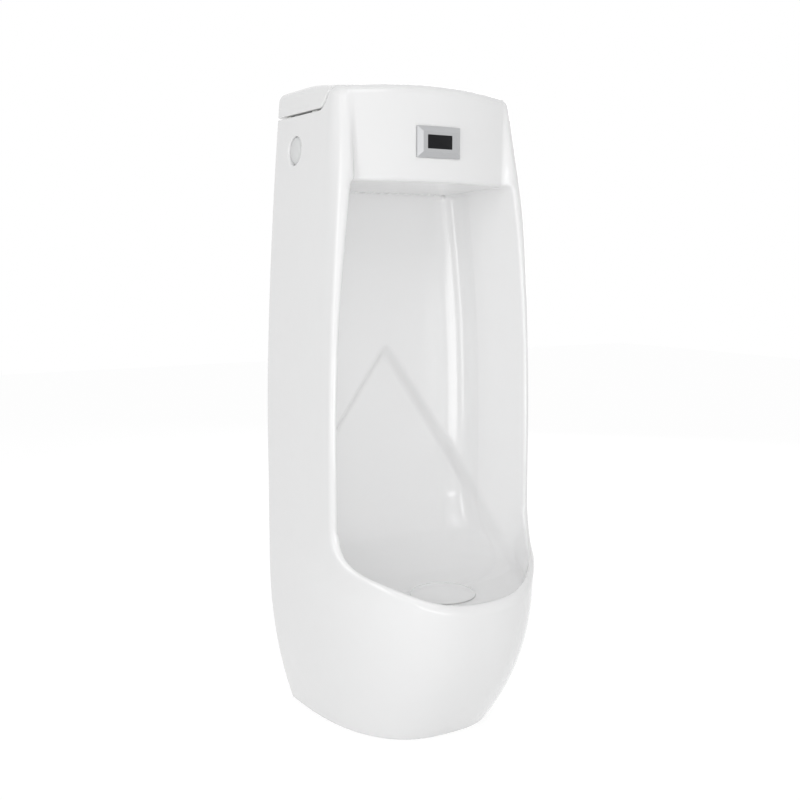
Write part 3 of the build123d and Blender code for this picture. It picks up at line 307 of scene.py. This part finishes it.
rim_heights = np.linspace(RIM_LEAN_Z, HEIGHT + 20, 30)
open_front = Profile(
    [(RIM_REACH, LIP_CURVE_Z)]
    + [(float(rim_line(z)), z) for z in rim_heights]
    + [(900, HEIGHT + 20), (900, 180), (407, 205)]
    + list(bezier((407, 205), (367, 233), (324, 262), (282, 275)))
    + list(bezier((282, 275), (250, 285), (228, 302), (228, 345)))[1:-1]
)
above_seam = Profile(
    [(-60, SEAM_Z), (148, SEAM_Z)]
    + list(bezier((148, SEAM_Z), (164, SEAM_Z), (168, 972), (177, 985)))[1:]
    + [(185, 998), (185, 1100), (-60, 1100)]
)
water_way = Profile(
    [(212, 207), (284, 207), (284, 112), (158, 112), (158, 160), (148, 160), (148, 30), (100, 30)]
    + [(100, 196), (200, 196), (200, 138), (212, 138)]
)
trap_block = Profile([(86, 14), (162, 14), (162, 98), (298, 98), (298, 220), (86, 220)])


def bowl_value(rise, column):
    """Smooth curve through one column of the bowl's rows."""
    heights, values = BOWL[:, 0], BOWL[:, column]
    secants = np.diff(values) / np.diff(heights)
    slopes = np.concatenate([[secants[0]], (secants[:-1] + secants[1:]) / 2, [0.0]])
    flat = np.concatenate([[False], secants[:-1] * secants[1:] <= 0, [False]])
    slopes[flat] = 0
    rise = np.clip(rise, 0, heights[-1])
    k = np.clip(np.searchsorted(heights, rise, side="right") - 1, 0, len(heights) - 2)
    step = heights[k + 1] - heights[k]
    t = (rise - heights[k]) / step
    h00, h10 = 2 * t**3 - 3 * t**2 + 1, t**3 - 2 * t**2 + t
    h01, h11 = -2 * t**3 + 3 * t**2, t**3 - t**2
    curve = h00 * values[k] + h10 * step * slopes[k] + h01 * values[k + 1] + h11 * step * slopes[k + 1]
    return curve.astype(np.float32)


def pocket_share(ax, s, z):
    """0 outside the gabled pocket, 1 inside, with the soft edge between."""
    ridge = np.sqrt(ax * ax + POCKET_RIDGE**2) - POCKET_RIDGE
    fall = z - POCKET_APEX + POCKET_SLOPE * ridge + POCKET_LEAN * (s - TROUGH_BACK)
    return 1 - blend(-POCKET_EDGE, POCKET_EDGE / 2, fall / POCKET_STEEP)


def trough(ax, s, z):
    rise = z - FLOOR_Z
    half = rim_inner(np.maximum(z, LIP_CURVE_Z)) - bowl_value(rise, BOWL_DRAW)
    deeper = POCKET_DEPTH * pocket_share(ax, s, z)
    back = bowl_value(rise, BOWL_REACH) - deeper
    back_half = half - 20 + deeper / 2
    corner = bowl_value(rise, BOWL_CORNER)
    lean = np.clip((s - back - corner) / (RIM_REACH - back - corner), 0, 1)
    side = ax - (back_half + (half - back_half) * lean)
    handle = exponent(bowl_value(rise, BOWL_HANDLE))
    front = oval(ax, s, half, RIM_REACH, bowl_value(rise, BOWL_FRONT), handle)
    return both(np.where(s > RIM_REACH, front, side), back - s, corner)


def trough_void(ax, s, z, shell):
    """The trough and bowl, with true distances where their walls lean, the floor and the ceiling."""
    step = 1.5
    low, high = trough(ax, s, z - step), trough(ax, s, z + step)
    slope = (high - low) / (2 * step)
    out = trough(ax, s, z) / np.sqrt(1 + slope * slope)
    lip_wall = shell + WALL - 400 * blend(330, 400, z)
    out = both(out, lip_wall, INNER_ROUND)
    out = both(out, FLOOR_Z - z, FLOOR_ROUND)
    tilt = CEILING_FALL / (232 - TROUGH_BACK)
    ceiling = z - (CEILING_Z - CEILING_FALL + tilt * (s - TROUGH_BACK))
    return both(out, ceiling, INNER_ROUND)


def barrel(ax, s, z):
    return oval(ax, s, shell_half_width(z), shell_straight(z), shell_reach(z), shell_exponent(z))


def crowned(out, ax, s, z):
    """Cut at the top and at the floor."""
    top = HEIGHT + TOP_RISE - blend(TOP_LEVEL, TOP_FRONT, s) * (TOP_RISE + TOP_FALL * (ax / CROWN) ** 2)
    out = both(out, z - top, CROWN_ROUND)
    return both(out, -z, FINE_ROUND)


def panel_face(ax, s):
    arc = (PANEL_HALF**2 + PANEL_BULGE**2) / (2 * PANEL_BULGE)
    return disc(ax, s + arc - PANEL_EDGE - PANEL_BULGE, arc)


def outer_form(shell, face, ax, s, z):
    """Shell with its open front, the head panel a little behind the rim, and the seat of the cover."""
    out = both(shell, -s, WALL)
    out = without(out, open_front(s, z), RIM_ROUND)
    recess = np.maximum(ax - PANEL_HALF, CEILING_Z - RECESS_DROP - z)
    out = without(out, np.maximum(recess, RECESS_ROOT - s), RIM_ROUND)
    panel = np.maximum(face, ax - PANEL_HALF - PANEL_OVERLAP)
    panel = np.maximum(panel, np.maximum(CEILING_Z - PANEL_DROP - z, PANEL_ROOT - s))
    out = either(out, panel, PANEL_ROUND)
    out = crowned(out, ax, s, z)
    return without(out, above_seam(s, z), SEAM_ROUND)


def rear_hollow(shell, void, ax, s, z):
    """Hollow behind the trough and under the bowl, round the trap and the outlet horn."""
    hollow = np.maximum(np.maximum(shell + WALL, z - HOLLOW_TOP), WALL - s)
    hollow = without(hollow, np.maximum(BOWL_BACK - s, BOWL_UNDER - z), GLAZE_ROUND)
    hollow = without(hollow, void - WALL, INNER_ROUND)
    trap = np.maximum(trap_block(s, z), ax - TRAP_HALF)
    horn = np.maximum(disc(ax, s - OUTLET_REACH, HORN_RADIUS), between(z, HORN_LOW, HORN_HIGH))
    return without(hollow, either(trap, horn, GLAZE_ROUND), GLAZE_ROUND)


def head_cavity(shell, face, ax, s, z):
    """Cavity behind the panel, open to the cover at the rear, with the wash channel's ridge in it."""
    cavity = np.maximum(between(s, CAVITY_BACK, 400), between(z, CAVITY_FLOOR, 1100))
    cavity = np.maximum(np.maximum(cavity, shell + WALL), face + PANEL_WALL)
    cavity = np.maximum(cavity, np.minimum(z - ROOF_Z, s - ROOF_REACH))
    return without(cavity, within(CHANNEL_RIDGE, ax, s, z), FINE_ROUND)


def water_space(ax, s, z):
    """Trap, outlet drop and sump."""
    way = np.maximum(water_way(s, z), ax - WATER_HALF)
    drop = np.maximum(disc(ax, s - OUTLET_REACH, OUTLET_RADIUS), z - OUTLET_TOP)
    sump = np.maximum(disc(ax, s - DRAIN_REACH, DRAIN_RADIUS), between(z, 200, 240))
    return np.minimum(way, np.minimum(drop, sump))


def sharp_cuts(ax, s, z):
    """Wash channel with its inlet and wash holes, and the openings of the head."""
    inlet = np.maximum(disc(ax, s - INLET_REACH, INLET_RADIUS), between(z, 875, 906))
    row = ax - WASH_PITCH * np.round(ax / WASH_PITCH)
    wash = np.maximum(disc(row, s - WASH_REACH, WASH_RADIUS), between(z, 830, 864))
    bolt = np.maximum(disc(ax - BOLT_X, z - BOLT_Z, BOLT_RADIUS), between(s, -20, BOLT_DEPTH))
    cuts = np.minimum(np.minimum(inlet, bolt), np.maximum(wash, ax - WASH_END))
    for box in (WASH_CHANNEL, REAR_WINDOW, SENSOR_HOLE, HOUSING_HOLE, BEZEL_SEAT):
        cuts = np.minimum(cuts, within(box, ax, s, z))
    return cuts


def body_field(x, s, z):
    ax = np.abs(x)
    shell = barrel(ax, s, z)
    face = panel_face(ax, s)
    void = trough_void(ax, s, z, shell)
    out = outer_form(shell, face, ax, s, z)
    out = without(out, rear_hollow(shell, void, ax, s, z), FINE_ROUND)
    out = without(out, within(REAR_OPENING, ax, s, z), GLAZE_ROUND)
    out = without(out, within(BASE_OPENING, ax, s, z) + 400 * (z > BASE_TOP), 1.0)
    out = without(out, head_cavity(shell, face, ax, s, z), FINE_ROUND)
    out = without(out, void, INNER_RIM_ROUND)
    out = without(out, water_space(ax, s, z), WATER_ROUND)
    hole_s, hole_z, hole_radius = SIDE_HOLE
    hole = np.maximum(disc(s - hole_s, z - hole_z, hole_radius), SIDE_HOLE_INNER - ax)
    out = without(out, hole, SIDE_HOLE_ROUND)
    return np.maximum(out, -sharp_cuts(ax, s, z))


def cover_field(x, s, z):
    ax = np.abs(x)
    out = crowned(both(barrel(ax, s, z), -s, WALL), ax, s, z)
    out = both(out, above_seam(s, z) + SEAM_GAP, COVER_ROUND)
    inner = np.maximum(between(s, 10, COVER_STEP_REACH), between(z, 940, COVER_INNER_TOP))
    step = np.maximum(between(s, COVER_STEP_REACH, COVER_STEP_END), z - COVER_INNER_TOP)
    step = np.maximum(step, COVER_STEP_Z + (s - COVER_STEP_REACH) * COVER_STEP_SLOPE - z)
    inside = np.maximum(np.minimum(inner, step), ax - COVER_HALF)
    return without(out, inside, FINE_ROUND)


def add_object(name, mesh):
    mesh.validate()
    mesh.shade_smooth()
    obj = bpy.data.objects.new(name, mesh)
    bpy.context.scene.collection.objects.link(obj)
    return obj


def sampled(field, half_width, reaches, heights):
    """Points and quads near a field's surface, from samples of its right half and their mirror image."""
    x = np.arange(CELL / 2, half_width + CELL, CELL, dtype=np.float32)[:, None, None]
    s = np.arange(reaches[0], reaches[1] + CELL, CELL, dtype=np.float32)[None, :, None]
    z = np.arange(heights[0], heights[1] + CELL, CELL, dtype=np.float32)[None, None, :]
    slabs = []
    for start in range(0, z.shape[2], SLAB):
        slabs.append(field(x, s, z[:, :, start : start + SLAB]).astype(np.float32))
    values = np.concatenate(slabs, axis=2)
    values = np.concatenate([values[::-1], values], axis=0)
    band = 3 * CELL
    grid = openvdb.FloatGrid(band)
    grid.copyFromArray(np.clip(values, -band, band))
    points, quads = grid.convertToQuads(isovalue=0.0)
    points = points.astype(np.float32) * CELL
    points[:, 0] += CELL / 2 - x.shape[0] * CELL
    points[:, 1] += reaches[0]
    points[:, 2] += heights[0]
    return points, quads


def settled(field, points):
    """The points moved in two steps onto the field's exact surface, and their normals."""
    for _ in range(2):
        here = field(*points.T)
        rises = []
        for axis in range(3):
            move = np.zeros(3, np.float32)
            move[axis] = SLOPE_STEP
            rises.append((field(*(points + move).T) - here) / SLOPE_STEP)
        normals = np.stack(rises, axis=1)
        size = np.maximum(np.linalg.norm(normals, axis=1, keepdims=True), LEAST_SLOPE)
        normals = normals / size
        points = points - np.clip(here[:, None] / size, -FURTHEST, FURTHEST) * normals
    return points, normals


def mesh_from(name, field, half_width, reaches, heights):
    """Smooth mesh of a field."""
    points, quads = sampled(field, half_width, reaches, heights)
    points, normals = settled(field, points)
    place = np.stack([points[:, 0], BACK_Y - points[:, 1], points[:, 2]], axis=1) * MM
    outward = np.stack([normals[:, 0], -normals[:, 1], normals[:, 2]], axis=1)
    a, b, c = place[quads[:, 0]], place[quads[:, 1]], place[quads[:, 2]]
    if np.mean(np.sum(np.cross(b - a, c - a) * outward[quads[:, 0]], axis=1)) < 0:
        quads = quads[:, ::-1]
    mesh = bpy.data.meshes.new(name)
    mesh.vertices.add(len(place))
    mesh.vertices.foreach_set("co", place.astype(np.float32).ravel())
    mesh.loops.add(quads.size)
    mesh.loops.foreach_set("vertex_index", quads.astype(np.int32).ravel())
    mesh.polygons.add(len(quads))
    mesh.polygons.foreach_set("loop_start", np.arange(0, quads.size, 4, dtype=np.int32))
    mesh.polygons.foreach_set("loop_total", np.full(len(quads), 4, dtype=np.int32))
    mesh.update(calc_edges=True)
    return add_object(name, mesh)


def add_mesh(name, verts, faces):
    mesh = bpy.data.meshes.new(name)
    mesh.from_pydata([tuple(c * MM for c in v) for v in verts], [], faces)
    return add_object(name, mesh)


def lathe(name, profile, centre, axis, steps=96):
    """Closed solid of revolution of (radius, height) points that start and end on the axis."""
    across, up = {"x": ((0, 1, 0), (0, 0, 1)), "z": ((1, 0, 0), (0, 1, 0))}[axis[-1]]
    along = np.cross(across, up) * (-1 if axis[0] == "-" else 1)
    across, up, centre = np.array(across), np.array(up), np.array(centre)
    verts = [centre + along * profile[0][1], centre + along * profile[-1][1]]
    for radius, height in profile[1:-1]:
        for turn in np.linspace(0, 2 * math.pi, steps, endpoint=False):
            spoke = across * math.cos(turn) + up * math.sin(turn)
            verts.append(centre + along * height + radius * spoke)
    rings = len(profile) - 2
    faces = []
    for k in range(steps):
        n = (k + 1) % steps
        faces.append((0, 2 + k, 2 + n))
        for ring in range(rings - 1):
            low, high = 2 + ring * steps, 2 + (ring + 1) * steps
            faces.append((low + k, high + k, high + n, low + n))
        last = 2 + (rings - 1) * steps
        faces.append((1, last + n, last + k))
    if axis[0] == "-":
        faces = [face[::-1] for face in faces]
    return add_mesh(name, verts, faces)


def curve(*points, count):
    """Profile points of a bezier, as plain pairs."""
    return [(float(a), float(b)) for a, b in bezier(*points, count)]


def rounded_rectangle(middle_x, middle_z, half_width, half_height, corner, y):
    verts = []
    for quarter, (side_x, side_z) in enumerate(((1, 1), (-1, 1), (-1, -1), (1, -1))):
        for step in range(5):
            turn = math.radians(90 * quarter + 22.5 * step)
            x = middle_x + side_x * (half_width - corner) + corner * math.cos(turn)
            z = middle_z + side_z * (half_height - corner) + corner * math.sin(turn)
            verts.append((x, y, z))
    return verts


def window_pane(name):
    """Pane flush in the bezel's face, with a fine bevel and a stepped back."""
    front = BACK_Y - BEZEL_FACE
    rings = [(0.6, -0.35), (0.0, -0.05), (0.0, 2.0), (3.2, 2.1), (3.2, 5.5)]
    verts = []
    for inset, depth in rings:
        x, z, half_width, half_height = WINDOW
        size = (half_width - inset, half_height - inset / 2)
        verts += rounded_rectangle(x, z, *size, WINDOW_CORNER, front + depth)
    count = len(verts) // len(rings)
    faces = [tuple(range(count)), tuple(reversed(range(len(verts) - count, len(verts))))]
    for ring in range(len(rings) - 1):
        here, there = ring * count, (ring + 1) * count
        for k in range(count):
            n = (k + 1) % count
            faces.append((here + k, there + k, there + n, here + n))
    return add_mesh(name, verts, faces)


body = mesh_from("ceramic_body_glazed", body_field, 190, (-6.75, 372), (-5.0, 1010))
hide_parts("ceramic_body")
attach(body, "root")
cover = mesh_from("top_cover_glazed", cover_field, 165, (-6.75, 195), (950.0, 1010))
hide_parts("top_cover")
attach(cover, "cover")

# Drain cover: a low dome over the throat, its rim just clear of the bowl's floor
dome = curve((0, 16), (22, 16), (44, 11), (50.5, 5.5), count=20)
dome += curve((50.5, 5.5), (52.2, 3.8), (51.6, 2.4), (50, 2.2), count=8)
dome += [(30, 3.5), (29, 4), (29, -14), (26, -14), (26, 4), (12, 9), (0, 10)]
drain_dome = lathe("drain_cover_glazed", dome, (0, BACK_Y - DRAIN_REACH, FLOOR_Z), "+z")
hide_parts("drain_cover")
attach(drain_dome, "drain_cover_body")

# Side plugs: shallow caps, sunk a little into the glazed holes
cap = curve((0, 1.0), (9, 1.0), (17, -1.0), (20.6, -4.2), count=16)
cap += [(21.4, -5.6), (21.6, -8), (21, -12), (18, -12), (17.5, -6), (0, -4)]
plugs = {}
for side_name, sign in (("left", -1), ("right", 1)):
    face_x = sign * float(shell_half_width(np.float64(SIDE_HOLE[1])))
    place = (face_x, BACK_Y - SIDE_HOLE[0], SIDE_HOLE[1])
    plug = lathe("side_plug_" + side_name + "_cap", cap, place, "-x" if sign < 0 else "+x")
    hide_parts("side_plug_" + side_name)
    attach(plug, "root")
    plugs[side_name] = plug

pane = window_pane("sensor_window_pane")
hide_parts("sensor_window")
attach(pane, "root")


# Materials
def principled(made):
    return made.node_tree.nodes["Principled BSDF"]


def material(name, color, rough, metal=0.0, **extra):
    made = bpy.data.materials.new(name)
    made.use_nodes = True
    shader = principled(made)
    shader.inputs["Base Color"].default_value = (*color, 1)
    shader.inputs["Roughness"].default_value = rough
    shader.inputs["Metallic"].default_value = metal
    for socket, value in extra.items():
        shader.inputs[socket.replace("_", " ")].default_value = value
    return made


def node(made, kind, **inputs):
    new = made.node_tree.nodes.new(kind)
    for socket, value in inputs.items():
        new.inputs[socket.replace("_", " ")].default_value = value
    return new


def link(made, out, into):
    made.node_tree.links.new(out, into)


def speckle(made, scale, low, high, detail=3.0):
    """Noise between two values, on the object's own coordinates."""
    place = node(made, "ShaderNodeTexCoord")
    noise = node(made, "ShaderNodeTexNoise", Scale=scale, Detail=detail)
    link(made, place.outputs["Object"], noise.inputs["Vector"])
    spread = node(made, "ShaderNodeMapRange", To_Min=low, To_Max=high, From_Min=0.3, From_Max=0.7)
    link(made, noise.outputs["Fac"], spread.inputs["Value"])
    return spread.outputs["Result"]


def bumped(made, scale, distance, strength=0.3, detail=3.0):
    bump = node(made, "ShaderNodeBump", Strength=strength, Distance=distance)
    link(made, speckle(made, scale, 0.0, 1.0, detail), bump.inputs["Height"])
    link(made, bump.outputs["Normal"], principled(made).inputs["Normal"])


def finish(name, color, rough, metal=0.0, grain=60.0, spread=0.25, depth=0.0002):
    """Material whose roughness varies by the share spread, with a fine bump of twice that scale."""
    made = material(name, color, rough, metal)
    varied = speckle(made, grain, rough * (1 - spread), rough * (1 + spread))
    link(made, varied, principled(made).inputs["Roughness"])
    bumped(made, grain * 2, depth)
    return made


def glaze():
    """White vitreous glaze: a clear coat, slightly uneven in gloss and surface."""
    made = material("glaze", (0.91, 0.911, 0.912), 0.1, Coat_Weight=0.35, Coat_Roughness=0.04)
    link(made, speckle(made, 9.0, 0.09, 0.15), principled(made).inputs["Roughness"])
    bumped(made, 45.0, 0.0012, 0.05, 1.0)
    return made


SILVER = (0.5, 0.505, 0.515)
finishes = {
    "glaze": glaze(),
    "satin_silver": finish("satin_silver", SILVER, 0.3, 1.0, grain=900.0, spread=0.1, depth=0.00001),
    "smoked_window": material("smoked_window", (0.012, 0.012, 0.014), 0.08, IOR=1.22),
    "black_plastic": finish("black_plastic", (0.03, 0.03, 0.032), 0.42),
    "grey_plastic": finish("grey_plastic", (0.32, 0.33, 0.34), 0.45),
    "white_plastic": finish("white_plastic", (0.78, 0.79, 0.79), 0.38),
    "rubber_black": finish("rubber_black", (0.025, 0.025, 0.025), 0.75),
    "rubber_clear": finish("rubber_clear", (0.62, 0.63, 0.6), 0.35),
    "brass": finish("brass", (0.72, 0.52, 0.24), 0.28, 1.0),
    "steel": finish("steel", (0.62, 0.62, 0.63), 0.3, 1.0),
    "board": finish("board", (0.05, 0.22, 0.1), 0.4),
    "cell_wrap": finish("cell_wrap", (0.12, 0.16, 0.3), 0.3),
    "eye_clear": material("eye_clear", (0.25, 0.18, 0.3), 0.06, Coat_Weight=0.4),
}


def dress(obj, made):
    obj.data.materials.clear()
    obj.data.materials.append(made)


slots = {row["node"]: row["material_slot"] for row in frame["record"]["subparts"]}
for name, obj in frame["nodes"].items():
    dress(obj, finishes[slots[name]])
new_pieces = (
    (body, "ceramic_body"),
    (cover, "top_cover"),
    (drain_dome, "drain_cover"),
    (pane, "sensor_window"),
    (plugs["left"], "side_plug_left"),
    (plugs["right"], "side_plug_right"),
)
for obj, replaced in new_pieces:
    dress(obj, finishes[slots[replaced]])

# The plunger's spring closes up as the plunger rises; here it only gets its own copy of its mesh
spring = frame["nodes"]["plunger_spring"]
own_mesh(spring)


# Floor, light and camera
def math_node(tree, operation, first, second):
    """Math node of a socket and either another socket or a number."""
    new = tree.nodes.new("ShaderNodeMath")
    new.operation = operation
    tree.links.new(first, new.inputs[0])
    if isinstance(second, float):
        new.inputs[1].default_value = second
    else:
        tree.links.new(second, new.inputs[1])
    return new.outputs[0]


def seen_or_mirrored(tree):
    """1 for camera, glossy and transmission rays, 0 for the rays that light things."""
    rays = tree.nodes.new("ShaderNodeLightPath").outputs
    seen = math_node(tree, "MAXIMUM", rays["Is Camera Ray"], rays["Is Glossy Ray"])
    return math_node(tree, "MAXIMUM", seen, rays["Is Transmission Ray"])


def mix_shaders(tree, share, lit, seen, output):
    mix = tree.nodes.new("ShaderNodeMixShader")
    tree.links.new(share, mix.inputs["Fac"])
    tree.links.new(lit.outputs[0], mix.inputs[1])
    tree.links.new(seen.outputs[0], mix.inputs[2])
    tree.links.new(mix.outputs[0], tree.nodes[output].inputs["Surface"])


def stage_material(name, color, glow):
    """Matt, with the share glow of plain white to the camera and in mirrors, so the shadow stays."""
    made = material(name, color, 0.9)
    tree = made.node_tree
    emission = tree.nodes.new("ShaderNodeEmission")
    emission.inputs["Strength"].default_value = 1.1
    share = math_node(tree, "MULTIPLY", seen_or_mirrored(tree), glow)
    mix_shaders(tree, share, principled(made), emission, "Material Output")
    return made


world = bpy.data.worlds.new("studio")
bpy.context.scene.world = world
world.use_nodes = True
tree = world.node_tree
background = tree.nodes["Background"]
background.inputs["Color"].default_value = (1, 1, 1, 1)
background.inputs["Strength"].default_value = 0.54
white = tree.nodes.new("ShaderNodeBackground")
white.inputs["Color"].default_value = (1, 1, 1, 1)
white.inputs["Strength"].default_value = 1.0
mix_shaders(tree, seen_or_mirrored(tree), background, white, "World Output")

bpy.ops.mesh.primitive_plane_add(size=12, location=(0, 0, -0.0005))
floor = bpy.context.object
floor.name = "studio_floor"
dress(floor, stage_material("studio_floor", (0.9, 0.9, 0.9), 0.8))


def lamp(name, place, target, size, power):
    light = bpy.data.lights.new(name, "AREA")
    light.shape = "RECTANGLE"
    light.size, light.size_y = size
    light.energy = power
    obj = bpy.data.objects.new(name, light)
    obj.location = place
    obj.rotation_euler = (Vector(target) - Vector(place)).to_track_quat("-Z", "Y").to_euler()
    bpy.context.scene.collection.objects.link(obj)


lamp("key", (-2.6, -1.1, 1.0), (0, 0, 0.5), (0.9, 2.0), 14.5)
lamp("fill", (-1.1, -2.6, 0.62), (0, 0, 0.6), (1.2, 1.7), 5)
lamp("low", (-0.7, -2.3, 0.2), (0, 0, 0.8), (1.8, 0.6), 8)
lamp("top", (-0.3, -1.7, 2.6), (0, 0, 0.3), (1.4, 1.4), 8)
lamp("rear", (1.8, 2.0, 1.3), (0, 0, 0.5), (1.4, 1.4), 18)

camera = bpy.data.cameras.new("camera")
camera.lens = 49.5
camera.sensor_width = 36.0
eye = bpy.data.objects.new("camera", camera)
eye.location = (-0.931, -1.457, 0.740)
eye.rotation_euler = (math.radians(90 - 7.226), 0, math.radians(-31.48))
bpy.context.scene.collection.objects.link(eye)
bpy.context.scene.camera = eye
bpy.context.scene.view_settings.view_transform = "Standard"
